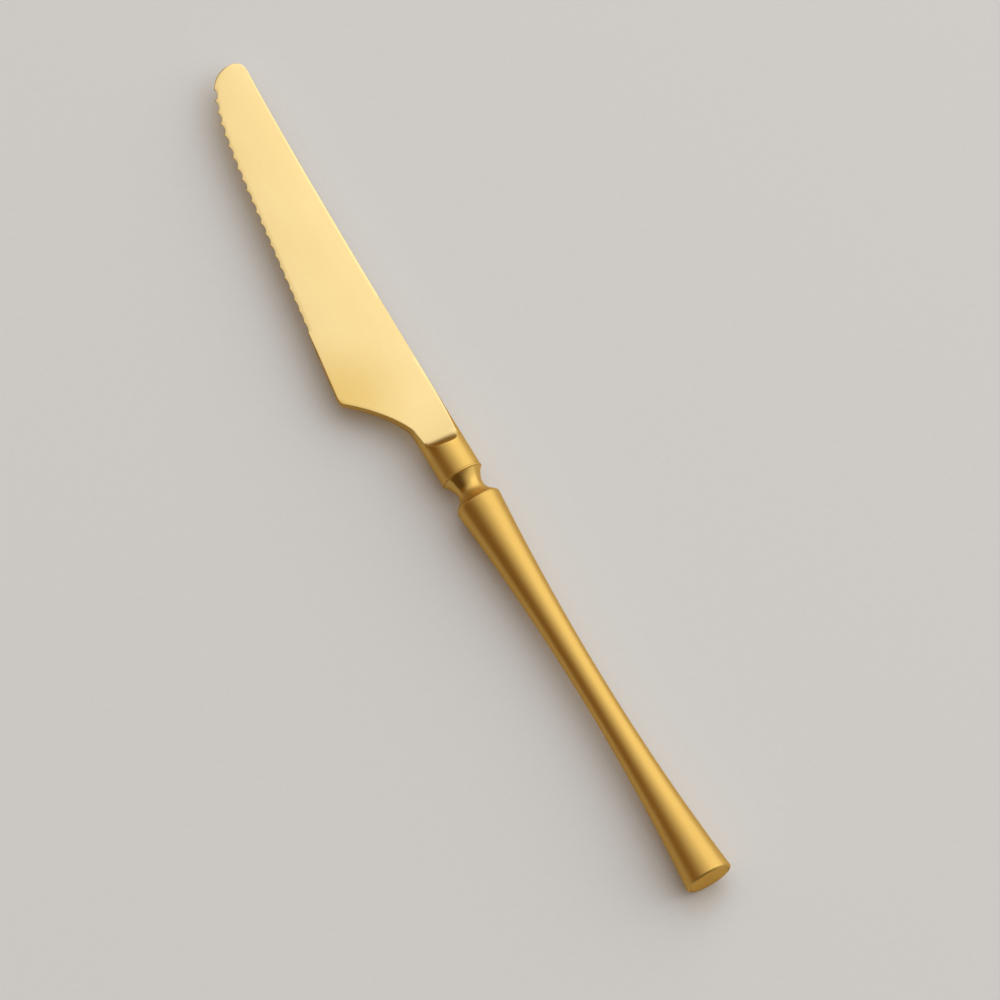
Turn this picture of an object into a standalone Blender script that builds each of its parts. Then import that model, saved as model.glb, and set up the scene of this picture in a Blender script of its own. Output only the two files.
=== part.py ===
"""Steak knife with a hollow round handle, modelled as the pieces it is assembled from.

X runs from the butt to the tip, Y points to the cutting edge and Z is up, in metres.
The knife lies flat: its origin is on the table, under the middle of its box.
"""

import math

import bmesh
import bpy
from mathutils import Vector

# Handle: two pressed half-shells that make one waisted tube
HANDLE_LENGTH = 0.1097  # butt face to the rim of the shoulder
BUTT_RADIUS = 0.0061
SHOULDER_RADIUS = 0.00585
WAIST_RADIUS = 0.0035  # half-way along the handle
SHELL_WALL = 0.0008
SHOULDER_CHAMFER = 0.00135  # 45 degrees, down to the mouth that the neck stands on
BUTT_CHAMFER = 0.0003
MOUTH_HOLE_RADIUS = 0.0028

# End cap: a tapered plug, flush with the butt
CAP_THICKNESS = 0.0025

# Neck and bolster, turned on the axis of the handle
NECK_FOOT_LENGTH = 0.0024  # mouth to the waist of the neck
NECK_RISE_LENGTH = 0.0036  # waist of the neck to the bolster
NECK_WAIST_RADIUS = 0.0036
NECK_TOP_RADIUS = 0.0048
BOLSTER_RADIUS = 0.0053
BOLSTER_LENGTH = 0.008  # rear face to the step where the ground face of the blade runs out
LIP_WIDTH = 0.0005
LIP_HEIGHT = 0.0001

# Blade in plan
ROOT_LENGTH = 0.00705  # step of the bolster to the start of the choil
CHOIL_LENGTH = 0.0152  # start of the choil to the heel
EDGE_LENGTH = 0.0876  # heel to tip
HEEL_DROP = 0.0165  # axis to the heel
HEEL_ROUND = 0.001  # the corner of the heel is rounded over this length each way
CHOIL_ANGLE = math.radians(49)  # slope of the choil where it ends in the heel
SPINE_LEVEL_LENGTH = 0.0718  # step of the bolster to the point that steers the climb of the spine
SPINE_RISE = 0.0017  # how far the spine climbs on its way to the tip
TIP_SWEEP_LENGTH = 0.0288  # from here the straight edge sweeps up to the tip
TIP_SWEEP_DROP = 0.00845  # axis to the edge where the sweep starts
TIP_CORNER_LENGTH = 0.0039  # from here the spine rounds down to the tip
TIP_RISE = 0.0032  # axis to the foremost point, on the side of the spine
CHOIL_FULLNESS = 0.55
HEEL_FULLNESS = 0.6
SWEEP_FULLNESS = 0.75
CORNER_FULLNESS = 0.73

# Blade in section
ROOT_THICKNESS = 0.0073  # at the foot of the step
HEEL_THICKNESS = 0.0025
TIP_THICKNESS = 0.0012
STEP_FILLET = 0.0016  # between the ground face and the step
BEVEL_WIDTH = 0.0022  # ground on the under side only
BEVEL_RUNOUT = 0.006
EDGE_THICKNESS = 0.00035

# Serration: scallops ground from the under side
SERRATION_COUNT = 22
SERRATION_PITCH = 0.003
SERRATION_START = 0.00815  # tip to the middle of the first scallop, along the edge
SCALLOP_LENGTH = 0.0026
SCALLOP_DEPTH_FRONT = 0.0007
SCALLOP_DEPTH_REAR = 0.0003
SCALLOP_STEEP_SHARE = 0.04  # how soon each scallop dives in on the side of the heel
SCALLOP_EASE_SHARE = 0.3  # how slowly it comes out on the side of the tip
SCALLOP_LEAN = math.radians(35)

# Tang and the cement round it
TANG_LENGTH = 0.045
TANG_THICKNESS = 0.0024
TANG_EASE = 0.0001  # corners of the tang inside the round of the spigot
NOTCH_COUNT = 5
NOTCH_LENGTH = 0.0018
NOTCH_DEPTH = 0.0004
CEMENT_WALL = 0.0005  # least cement between tang and shell
CEMENT_OVERRUN = 0.004  # cement beyond the end of the tang

# Clearances
SEAM_GAP = 0.0001  # visible joints: shell to shell, shell to cap, shell to neck
CEMENT_GAP = 0.0002
FLAT_SETBACK = 0.00003  # between the plan of the blade and the round it is cut from
FLARE_LEAD = 0.001  # the round of the root flares this far ahead of the choil
TOOL_MARGIN = 0.002  # cutting tools and stock reach this far past the metal
BEVEL_MARGIN = 0.0003  # the tools of the bevel and the scallops reach this far past the faces

# Facets
ROUND_STEPS = 48
ARC_STEPS = 14
CURVE_STEPS = 10
FINE_STEPS = 60
SHARP_ANGLE = math.radians(30)  # faces that meet at less than this are shaded as one

# Stations along X, measured from the butt
MOUTH_X = HANDLE_LENGTH + SHOULDER_CHAMFER
FOOT_X = MOUTH_X + SEAM_GAP
NECK_WAIST_X = FOOT_X + NECK_FOOT_LENGTH
BOLSTER_X = NECK_WAIST_X + NECK_RISE_LENGTH
STEP_X = BOLSTER_X + BOLSTER_LENGTH
CHOIL_X = STEP_X + ROOT_LENGTH
HEEL_X = CHOIL_X + CHOIL_LENGTH
TIP_X = HEEL_X + EDGE_LENGTH
TANG_END_X = FOOT_X - TANG_LENGTH
SHELL_FRONT_X = HANDLE_LENGTH - SHELL_WALL / 2

# Sizes that follow from the ones above
MOUTH_RADIUS = SHOULDER_RADIUS - SHOULDER_CHAMFER
SPIGOT_RADIUS = MOUTH_HOLE_RADIUS - SEAM_GAP
ROOT_HALF_WIDTH = BOLSTER_RADIUS - FLAT_SETBACK
SPINE_START = BOLSTER_RADIUS + FLAT_SETBACK
STOCK_RADIUS = HEEL_DROP + TOOL_MARGIN
TOOL_HEIGHT = BOLSTER_RADIUS + TOOL_MARGIN

for leftover in list(bpy.data.objects):
    bpy.data.objects.remove(leftover, do_unlink=True)

knife = bpy.data.objects.new("steak_knife", None)
bpy.context.scene.collection.objects.link(knife)


def mix(a, b, share):
    return a + (b - a) * share


def along(first, last, steps):
    return [mix(first, last, i / steps) for i in range(steps + 1)]


def curve_through(controls, steps):
    """Points of a Bezier curve of any degree, without its first point."""
    points = []
    for i in range(1, steps + 1):
        level = [Vector(c) for c in controls]
        while len(level) > 1:
            level = [a.lerp(b, i / steps) for a, b in zip(level, level[1:])]
        points.append(level[0])
    return points


def round_corner(start, corner, end, fullness):
    """Controls of a curve that leaves start and reaches end along the lines to the corner."""
    return [start, start.lerp(corner, fullness), end.lerp(corner, fullness), end]


def material(name, colour, roughness, metallic):
    made = bpy.data.materials.new(name)
    made.use_nodes = True
    shader = made.node_tree.nodes["Principled BSDF"]
    shader.inputs["Base Color"].default_value = (*colour, 1)
    shader.inputs["Roughness"].default_value = roughness
    shader.inputs["Metallic"].default_value = metallic
    return made


def placed(name, bm):
    """A named object under the knife's empty, with its faces turned outwards and its round faces smooth."""
    bmesh.ops.recalc_face_normals(bm, faces=bm.faces)
    mesh = bpy.data.meshes.new(name)
    bm.to_mesh(mesh)
    bm.free()
    mesh.shade_smooth()
    mesh.set_sharp_from_angle(angle=SHARP_ANGLE)
    made = bpy.data.objects.new(name, mesh)
    made.parent = knife
    bpy.context.scene.collection.objects.link(made)
    return made


def tool(name, bm):
    made = placed(name, bm)
    made.hide_render = True
    made.display_type = "WIRE"
    return made


def cut(piece, cutter, operation="DIFFERENCE"):
    modifier = piece.modifiers.new(cutter.name, "BOOLEAN")
    modifier.operation = operation
    modifier.object = cutter


def turned(profile, turn=math.tau):
    """Spin (station, radius) points about X, from +Y to +Z: a chain that ends on the axis, or a ring."""
    whole_turn = turn == math.tau
    bm = bmesh.new()
    verts = [bm.verts.new((x, radius, 0)) for x, radius in profile]
    pairs = list(zip(verts, verts[1:]))
    if not whole_turn or profile[0][1] > 0:
        pairs.append((verts[-1], verts[0]))
    edges = [bm.edges.new(pair) for pair in pairs]
    bmesh.ops.spin(
        bm,
        geom=verts + edges,
        axis=(1, 0, 0),
        cent=(0, 0, 0),
        angle=turn,
        steps=round(ROUND_STEPS * turn / math.tau),
        use_merge=whole_turn,
    )
    bmesh.ops.remove_doubles(bm, verts=bm.verts, dist=FLAT_SETBACK / 100)
    bmesh.ops.holes_fill(bm, edges=[edge for edge in bm.edges if edge.is_boundary])
    return bm


def add_prism(bm, outline, depth):
    """Extrude a closed outline of 3D points along a vector."""
    face = bm.faces.new([bm.verts.new(point) for point in outline])
    extruded = bmesh.ops.extrude_face_region(bm, geom=[face])["geom"]
    moved = [part for part in extruded if isinstance(part, bmesh.types.BMVert)]
    bmesh.ops.translate(bm, vec=depth, verts=moved)


def prism(outline, depth):
    bm = bmesh.new()
    add_prism(bm, outline, depth)
    return bm


def handle_radius(x):
    """Outside of the handle: it swells from the waist towards both ends."""
    half_length = HANDLE_LENGTH / 2
    end = BUTT_RADIUS if x < half_length else SHOULDER_RADIUS
    return mix(WAIST_RADIUS, end, ((x - half_length) / half_length) ** 2)


def bore_radius(x):
    return handle_radius(x) - SHELL_WALL


def handle_shells():
    outside = [(x, handle_radius(x)) for x in along(BUTT_CHAMFER, HANDLE_LENGTH, ARC_STEPS)]
    inside = [(x, bore_radius(x)) for x in along(SHELL_FRONT_X, 0, ARC_STEPS)]
    mouth = [
        (MOUTH_X, MOUTH_RADIUS),
        (MOUTH_X, MOUTH_HOLE_RADIUS),
        (SHELL_FRONT_X, MOUTH_HOLE_RADIUS),
    ]
    butt = [(0, handle_radius(0) - BUTT_CHAMFER)]
    profile = outside + mouth + inside + butt
    gold = (0.64, 0.39, 0.09)
    for name, side in (("handle_shell_upper", 1), ("handle_shell_lower", -1)):
        shell = placed(name, turned(profile, math.pi))
        shell.location.z = side * SEAM_GAP / 2
        shell.rotation_euler.x = 0 if side > 0 else math.pi
        shell.data.materials.append(material(name, gold, 0.34, 1))


def end_cap():
    side = [(x, bore_radius(x) - SEAM_GAP) for x in along(0, CAP_THICKNESS, 2)]
    cap = placed("end_cap", turned([(0, 0), *side, (CAP_THICKNESS, 0)]))
    cap.data.materials.append(material("end_cap", (0.6, 0.38, 0.1), 0.4, 1))


def tang_half_width(x):
    """The tang fills the spigot at the mouth and leaves a wall of cement at its end."""
    half_thickness = TANG_THICKNESS / 2
    narrowest = bore_radius(max(TANG_END_X, HANDLE_LENGTH / 2))
    end_reach = narrowest - CEMENT_WALL - 2 * CEMENT_GAP
    at_end = math.sqrt(end_reach**2 - half_thickness**2)
    at_mouth = math.sqrt(SPIGOT_RADIUS**2 - half_thickness**2) - TANG_EASE
    return mix(at_end, at_mouth, (x - TANG_END_X) / TANG_LENGTH)


def tang_side(clearance):
    """One edge of the tang from end to mouth, as (station, half width), with its keying notches."""
    spacing = TANG_LENGTH / (NOTCH_COUNT + 1)
    points = [(TANG_END_X - clearance, tang_half_width(TANG_END_X) + clearance)]
    for i in range(NOTCH_COUNT):
        middle = TANG_END_X + spacing * (i + 1)
        rear = middle - NOTCH_LENGTH / 2 + clearance
        front = middle + NOTCH_LENGTH / 2 - clearance
        for x, depth in ((rear, 0), (rear, NOTCH_DEPTH), (front, NOTCH_DEPTH), (front, 0)):
            points.append((x, tang_half_width(x) - depth + clearance))
    points.append((NECK_WAIST_X, tang_half_width(FOOT_X) + clearance))
    return points


def tang(clearance=0.0):
    side = tang_side(clearance)
    half_thickness = TANG_THICKNESS / 2 + clearance
    outline = [(x, y, -half_thickness) for x, y in side]
    outline += [(x, -y, -half_thickness) for x, y in reversed(side)]
    return prism(outline, (0, 0, 2 * half_thickness))


def tang_cement():
    front = SHELL_FRONT_X - CEMENT_GAP
    rear = TANG_END_X - CEMENT_OVERRUN
    side = [(x, bore_radius(x) - CEMENT_GAP) for x in along(rear, front, ARC_STEPS // 2)]
    cement = placed("tang_cement", turned([(rear, 0), *side, (front, 0)]))
    cement.data.materials.append(material("tang_cement", (0.45, 0.43, 0.4), 0.9, 0))
    cut(cement, tool("tang_socket", tang(CEMENT_GAP)))


def blade_curves():
    """Controls of the curves round the blade: out along the spine, round the tip and back along the edge."""
    spine_root = Vector((STEP_X, -SPINE_START))
    spine_level = Vector((STEP_X + SPINE_LEVEL_LENGTH, -SPINE_START))
    spine_end = Vector((TIP_X - TIP_CORNER_LENGTH, -SPINE_START - SPINE_RISE))
    climb = spine_end - spine_level
    tip = Vector((TIP_X, -TIP_RISE))
    sweep = Vector((TIP_X - TIP_SWEEP_LENGTH, TIP_SWEEP_DROP))
    heel = Vector((HEEL_X, HEEL_DROP))
    edge = (sweep - heel).normalized()
    slope = Vector((math.cos(CHOIL_ANGLE), math.sin(CHOIL_ANGLE)))
    root = Vector((CHOIL_X, ROOT_HALF_WIDTH))
    spine_corner = spine_end + climb * (TIP_CORNER_LENGTH / climb.x)
    sweep_corner = sweep + edge * (TIP_SWEEP_LENGTH / edge.x)
    choil_corner = heel - slope * ((HEEL_DROP - ROOT_HALF_WIDTH) / slope.y)
    heel_front = heel + edge * HEEL_ROUND
    heel_rear = heel - slope * HEEL_ROUND
    return {
        "spine": [spine_root, spine_level, spine_end],
        "tip": round_corner(spine_end, spine_corner, tip, CORNER_FULLNESS),
        "sweep": round_corner(tip, sweep_corner, sweep, SWEEP_FULLNESS),
        "edge": [sweep, heel_front],
        "heel": round_corner(heel_front, heel, heel_rear, HEEL_FULLNESS),
        "choil": round_corner(heel_rear, choil_corner, root, CHOIL_FULLNESS),
    }


def blade_outline():
    curves = blade_curves()
    outline = [curves["spine"][0]]
    for controls in curves.values():
        straight = len(controls) == 2
        outline += curve_through(controls, 1 if straight else CURVE_STEPS)
    return outline


def spine_points():
    controls = blade_curves()["spine"]
    return [controls[0]] + curve_through(controls, CURVE_STEPS)


def spine_radius(x):
    """The spine keeps the round of the bolster, and climbs with the plan of the blade."""
    points = spine_points()
    for a, b in zip(points, points[1:]):
        if x <= b.x:
            break
    return -mix(a.y, b.y, (x - a.x) / (b.x - a.x)) - FLAT_SETBACK


def edge_at(distance):
    """Point and outward direction on the cutting edge, at a distance from the tip along it."""
    curves = blade_curves()
    points = [curves["sweep"][0]] + curve_through(curves["sweep"], FINE_STEPS) + [curves["edge"][1]]
    for a, b in zip(points, points[1:]):
        step = b - a
        if distance <= step.length:
            break
        distance -= step.length
    direction = step.normalized()
    return a + direction * distance, Vector((direction.y, -direction.x))


def face_height(x):
    """Half thickness of the blade: a straight taper to the tip, and a hollow run up to the root."""
    taper = (HEEL_THICKNESS - TIP_THICKNESS) / 2 / EDGE_LENGTH
    straight = HEEL_THICKNESS / 2 - taper * (x - HEEL_X)
    root_x = STEP_X + STEP_FILLET
    climb = ROOT_THICKNESS / 2 - HEEL_THICKNESS / 2 - taper * (HEEL_X - root_x)
    behind = max(0, HEEL_X - x) / (HEEL_X - root_x)
    return straight + climb * behind**2


def face_grinder(name, side):
    """Takes away what stands above one face of the blade, back to the step at the bolster."""
    root_x = STEP_X + STEP_FILLET
    wheel = [(x, face_height(x)) for x in along(root_x, HEEL_X, CURVE_STEPS)]
    rise = (face_height(root_x) - wheel[1][1]) / (wheel[1][0] - root_x)
    lean = math.atan(rise)
    centre = (root_x + STEP_FILLET * math.sin(lean), face_height(root_x) + STEP_FILLET * math.cos(lean))
    fillet = []
    for turn in along(math.pi, 1.5 * math.pi - lean, CURVE_STEPS // 2)[:-1]:
        fillet.append((centre[0] + STEP_FILLET * math.cos(turn), centre[1] + STEP_FILLET * math.sin(turn)))
    front = TIP_X + TOOL_MARGIN
    top = TOOL_HEIGHT + TOOL_MARGIN
    profile = [(fillet[0][0], top), *fillet, *wheel, (front, face_height(front)), (front, top)]
    outline = [(x, -STOCK_RADIUS - TOOL_MARGIN, side * z) for x, z in profile]
    return tool(name, prism(outline, (0, 2 * (STOCK_RADIUS + TOOL_MARGIN), 0)))


def edge_bevel():
    """Takes the under side of the serrated edge down to a thin edge, and runs out at both ends.

    It has one flat to each scallop, so its flats meet on the lands between the scallops.
    """
    first = SERRATION_START - SERRATION_PITCH
    last = SERRATION_START + SERRATION_PITCH * SERRATION_COUNT
    lands = [SERRATION_START + SERRATION_PITCH * (i - 0.5) for i in range(SERRATION_COUNT + 1)]
    bm = bmesh.new()
    rings = []
    for distance in [first, *lands, last]:
        point, out = edge_at(distance)
        half = face_height(point.x)
        slope = (2 * half - EDGE_THICKNESS) / BEVEL_WIDTH
        from_end = min(distance - first, last - distance)
        sink = 2 * half * max(0, 1 - from_end / BEVEL_RUNOUT)
        low = -half - BEVEL_MARGIN
        inner = -BEVEL_WIDTH - BEVEL_MARGIN / slope
        high = half - EDGE_THICKNESS + TOOL_MARGIN * slope
        ring = []
        for reach, z in ((inner, low), (TOOL_MARGIN, low), (TOOL_MARGIN, high)):
            flat = point + out * reach
            ring.append(bm.verts.new((flat.x, flat.y, z - sink)))
        rings.append(ring)
    for near, far in zip(rings, rings[1:]):
        for i in range(3):
            j = (i + 1) % 3
            bm.faces.new((near[i], near[j], far[j], far[i]))
    bm.faces.new(rings[0])
    bm.faces.new(rings[-1])
    return tool("edge_bevel", bm)


def scallops():
    """Hollows that dive in steeply on the side of the heel and lean in under the edge."""
    bm = bmesh.new()
    for i in range(SERRATION_COUNT):
        point, out = edge_at(SERRATION_START + SERRATION_PITCH * i)
        to_tip = Vector((out.y, -out.x))
        top = face_height(point.x) + BEVEL_MARGIN
        lean = out * math.tan(SCALLOP_LEAN)
        depth = mix(SCALLOP_DEPTH_FRONT, SCALLOP_DEPTH_REAR, i / (SERRATION_COUNT - 1))
        pull = depth * 4 / 3  # a cubic curve comes three quarters of the way to its controls
        half = SCALLOP_LENGTH / 2
        steep = -half + SCALLOP_LENGTH * SCALLOP_STEEP_SHARE
        ease = half - SCALLOP_LENGTH * SCALLOP_EASE_SHARE
        hollow = curve_through([(-half, 0), (steep, pull), (ease, pull), (half, 0)], CURVE_STEPS)
        outline = []
        for run, reach in [(half, -TOOL_MARGIN), (-half, -TOOL_MARGIN), (-half, 0), *hollow]:
            flat = point + to_tip * run - out * reach + lean * BEVEL_MARGIN
            outline.append((flat.x, flat.y, top))
        add_prism(bm, outline, -2 * top * Vector((lean.x, lean.y, 1)))
    return tool("scallops", bm)


def forging_profile():
    """Spigot, foot, neck, bolster and the flare of the root, then plain stock out to the tip."""
    foot = []
    for share in along(1, 0, CURVE_STEPS // 2):
        x = NECK_WAIST_X - NECK_FOOT_LENGTH * share
        foot.append((x, mix(NECK_WAIST_RADIUS, MOUTH_RADIUS, share**2)))
    rise = []
    for share in along(0, 1, CURVE_STEPS // 2)[1:]:
        x = NECK_WAIST_X + NECK_RISE_LENGTH * share
        rise.append((x, mix(NECK_WAIST_RADIUS, NECK_TOP_RADIUS, share**2)))
    lip = BOLSTER_RADIUS + LIP_HEIGHT
    choil = curve_through(blade_curves()["choil"], CURVE_STEPS)
    flare = [(point.x - FLARE_LEAD, point.y + FLAT_SETBACK) for point in reversed(choil)]
    last_x, last_radius = flare[-1]
    stock_x = last_x + (STOCK_RADIUS - last_radius) / math.tan(CHOIL_ANGLE)
    return [
        (SHELL_FRONT_X, 0),
        (SHELL_FRONT_X, SPIGOT_RADIUS),
        (FOOT_X, SPIGOT_RADIUS),
        *foot,
        *rise,
        (BOLSTER_X, lip),
        (BOLSTER_X + LIP_WIDTH / 2, lip),
        (BOLSTER_X + LIP_WIDTH, BOLSTER_RADIUS),
        *flare,
        (stock_x, STOCK_RADIUS),
        *[(point.x, STOCK_RADIUS) for point in spine_points() if point.x > stock_x],
        (TIP_X + TOOL_MARGIN, STOCK_RADIUS),
        (TIP_X + TOOL_MARGIN, 0),
    ]


def forging_stock():
    """Turned stock that flares on the side of the edge only: the side of the spine keeps its round."""
    bm = turned(forging_profile())
    for vert in bm.verts:
        radius = math.hypot(vert.co.y, vert.co.z)
        if vert.co.x > STEP_X and vert.co.y < -FLAT_SETBACK:
            shrink = spine_radius(vert.co.x) / radius
            vert.co.y *= shrink
            vert.co.z *= shrink
    return bm


def blade():
    """Turned stock, trimmed to the plan of the blade, ground thin on both faces and serrated."""
    forging = placed("blade", forging_stock())
    forging.data.materials.append(material("blade", (0.9, 0.68, 0.3), 0.3, 1))
    rear = TANG_END_X - TOOL_MARGIN
    outline = blade_outline()
    outline += [
        Vector((STEP_X, ROOT_HALF_WIDTH)),
        Vector((STEP_X, STOCK_RADIUS)),
        Vector((rear, STOCK_RADIUS)),
        Vector((rear, -STOCK_RADIUS)),
        Vector((STEP_X, -STOCK_RADIUS)),
    ]
    plan = [(point.x, point.y, -TOOL_HEIGHT) for point in outline]
    cut(forging, tool("plan_trim", prism(plan, (0, 0, 2 * TOOL_HEIGHT))), "INTERSECT")
    cut(forging, face_grinder("upper_grind", 1))
    cut(forging, face_grinder("lower_grind", -1))
    cut(forging, edge_bevel())
    cut(forging, scallops())
    cut(forging, tool("tang", tang()), "UNION")


handle_shells()
end_cap()
tang_cement()
blade()

# The origin is under the middle of the knife's box, on the table
widths = [point.y for point in blade_outline()]
base = handle_radius(BUTT_CHAMFER) + SEAM_GAP / 2
knife.location = (-TIP_X / 2, -(max(widths) + min(widths)) / 2, base)
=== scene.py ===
import math

import bmesh
import bpy
import numpy as np
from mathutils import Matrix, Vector


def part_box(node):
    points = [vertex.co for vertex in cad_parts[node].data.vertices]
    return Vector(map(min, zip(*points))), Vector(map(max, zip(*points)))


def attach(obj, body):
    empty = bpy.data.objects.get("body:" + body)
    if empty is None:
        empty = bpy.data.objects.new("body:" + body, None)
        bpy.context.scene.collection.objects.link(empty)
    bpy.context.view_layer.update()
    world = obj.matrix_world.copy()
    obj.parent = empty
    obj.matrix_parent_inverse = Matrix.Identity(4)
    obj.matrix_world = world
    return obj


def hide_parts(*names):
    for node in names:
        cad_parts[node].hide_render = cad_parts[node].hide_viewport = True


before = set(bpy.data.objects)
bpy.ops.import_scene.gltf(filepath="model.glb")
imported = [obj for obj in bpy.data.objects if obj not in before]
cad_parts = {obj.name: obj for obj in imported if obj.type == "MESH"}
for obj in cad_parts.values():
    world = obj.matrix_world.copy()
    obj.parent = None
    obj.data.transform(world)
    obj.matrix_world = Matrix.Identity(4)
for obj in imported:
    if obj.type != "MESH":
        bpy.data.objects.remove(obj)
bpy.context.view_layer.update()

# The knife's own coordinates are millimetres: x from the butt to the tip on the handle's axis,
# y towards the cutting edge and z up. The CAD end cap gives where that axis lies in the frame.
CAP_LOW, CAP_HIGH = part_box("end_cap")
AXIS_START = Vector((CAP_LOW.x, (CAP_LOW.y + CAP_HIGH.y) / 2, (CAP_LOW.z + CAP_HIGH.z) / 2))
MM = 0.001

# Handle and end cap
HANDLE_LENGTH = 109.7
BUTT_RADIUS = 6.1
SHOULDER_RADIUS = 5.85
SHOULDER_ROUND = 1.3
WAIST_RADIUS = 3.5
SHELL_WALL = 0.8
MOUTH_X = 110.28
MOUTH_RADIUS = 5.3
MOUTH_ROUND = 0.12
MOUTH_HOLE_RADIUS = 2.8
RIM_WIDTH = 0.6
RIM_CHAMFER = 0.38
RIM_ROUND = 0.1
CAP_THICKNESS = 2.5
CAP_RIM_ROUND = 0.06
CAP_BACK_ROUND = 0.1
SEAM_GAP = 0.1

# Neck, bolster and tang
FOOT_X = 110.3
FOOT_RADIUS = 5.25
FOOT_FLARE = 2.3
FOOT_ROUND = 0.03
NECK_WAIST_X = 113.55
NECK_WAIST_RADIUS = 3.45
NECK_TOP_RADIUS = 5.1
NECK_TOP_ROUND = 0.1
TOP_FLARE = 1.5
BOLSTER_X = 117.15
BOLSTER_RADIUS = 5.3
LIP_RADIUS = 5.4
LIP_WIDTH = 0.35
LIP_REAR_ROUND = 0.2
LIP_FRONT_ROUND = 0.1
LIP_FOOT = 0.55
LIP_FOOT_ROUND = 0.15
SPIGOT_RADIUS = 2.7
SPIGOT_LENGTH = 0.9
TANG_END_X = 66.15
TANG_FRONT_X = FOOT_X - 1.0
TANG_HALF_WIDTH = 1.6
TANG_HALF_THICKNESS = 1.2

# Blade in plan
STEP_X = 125.15
CHOIL_X = 132.2
CHOIL_SLOPE = math.radians(49)
CHOIL_FULLNESS = 0.55
HEEL_X = 147.4
HEEL_DROP = 16.5
HEEL_ROUND = 1.0
HEEL_FULLNESS = 0.6
SPINE_LEVEL_X = STEP_X + 71.8
SPINE_RISE = 1.7
SWEEP_LENGTH = 28.8
SWEEP_DROP = 8.45
SWEEP_FULLNESS = 0.75
CORNER_LENGTH = 3.9
CORNER_FULLNESS = 0.73
TIP_X = 235.0
TIP_RISE = 3.2

# Blade in section
ROOT_HALF = 3.3
HEEL_HALF = 1.25
TIP_HALF = 0.6
RAMP_X = 127.65
STEP_FILLET = 2.4
STEP_RUNOUT = 3.4
CREST_START_X = 124.6
CREST_END_X = 128.1
CREST_ROUND = 0.08
CREST_ROUND_SHARE = 0.3  # of the column beyond the crest, at most
CREST_SKEW = 0.15
ROUND_FADE = (129.8, 136.6)  # here the round of the bolster turns into the choil's wall
WALL_BARREL = 0.15
CROWN = 0.12
CROWN_FULL_X = HEEL_X + 10
CROWN_EASE = (200, 230)
TIP_CROWN_SHARE = 0.6
CROWN_LEAST_WIDTH = 4.0
ROOT_ROUND = 0.05
ROOT_EDGE_ROUND = 0.2
CHOIL_ROUND = 0.28
SPINE_ROUND = 0.09
BULGE_FADE = (0.85, 0.1)  # share of the edge where the spine's round starts to fade, and over which

# Edge and serration
BEVEL_WIDTH = 2.2
BEVEL_RUNOUT = 6.0
BEVEL_LEAST = 0.5
EDGE_THICKNESS = 0.35
EDGE_ROUND = 0.04
EDGE_ROUND_GROWTH = 0.1
TOOTH_ROUND = 0.18
SCALLOPS = 22
PITCH = 3.0
FIRST_SCALLOP = 8.15  # tip to the middle of the first scallop, along the edge
SCALLOP_LENGTH = 2.6
SCALLOP_STEEP_SHARE = 0.04
SCALLOP_EASE_SHARE = 0.3
DEPTH_FRONT = 0.7
DEPTH_REAR = 0.3
LEAN = math.tan(math.radians(35))
LEAN_FADE = 0.12
LAST_TOOTH = FIRST_SCALLOP + PITCH * (SCALLOPS - 0.5)
BEVEL_FIRST = FIRST_SCALLOP - PITCH / 2 - BEVEL_RUNOUT
BEVEL_LAST = LAST_TOOTH + BEVEL_RUNOUT

# Mesh: how finely each part is divided
WELD = 0.0005
SHARP_ANGLE = math.radians(50)
FLAT_FACE_WEIGHT = 80
ROUND_SHARE = 0.49  # of the way to the next corner, at most
TURN_STEPS = 160
HANDLE_RINGS = 72
HANDLE_END_MARGIN = 1.5
INSIDE_RINGS = 30
CAP_FACE_RINGS = 10
HANDLE_ROUND_STEPS = 6
CAP_ROUND_STEPS = 3
NECK_RINGS = 18
NECK_ROUND_STEPS = 4
BOLSTER_RING_X = (119, 121, 123)
TANG_RINGS = 6
SPINE_STEPS = 80
CORNER_STEPS = 40
CHOIL_STEPS = 80
SWEEP_STEPS = 160
HEEL_STEPS = 10
FILLET_STEPS = 16
CREST_SAMPLES = 200
CREST_ROWS = (4, 3, 14)  # before the crest, round it and after it
ROOT_RINGS = 14
ROOT_GATHER = 1.5
CHOIL_RINGS = 44
CHOIL_INSET = 0.6
PLAIN_EDGE_RINGS = 24
NOSE_RINGS = 16
SCALLOP_INSET = 1.5
INSET_SHARE = 0.3  # of the blade's width, at most
SCALLOP_SHARES = [0, 0.04, 0.09, 0.15, 0.22, 0.3, 0.39, 0.48, 0.58, 0.68, 0.78, 0.88, 0.95, 1]
SPINE_SAMPLES = 1200
LEAST_REACH = 1e-4
TINY = 1e-6
SLACK = 1e-9

# The blade is one grid: rings across it, from the tang to the tip, and columns along it
TOP = 25
ROUND_COLUMNS = 3
WALL_COLUMNS = 7
SIDE = ROUND_COLUMNS + WALL_COLUMNS + ROUND_COLUMNS
BEVEL_COLUMNS = 2
BEVEL_COLUMN = TOP + SIDE + TOP - 1


def mix(a, b, share):
    return a + (b - a) * share


def smooth(share):
    share = min(1.0, max(0.0, share))
    return share * share * (3 - 2 * share)


def bezier(controls, share):
    level = [Vector(c) for c in controls]
    while len(level) > 1:
        level = [a.lerp(b, share) for a, b in zip(level, level[1:])]
    return level[0]


def arc(controls, steps):
    return [bezier(controls, i / steps) for i in range(steps + 1)]


def lengths_along(points):
    """The length of a polyline up to each of its points."""
    return np.concatenate([[0], np.cumsum([(b - a).length for a, b in zip(points, points[1:])])])


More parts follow.
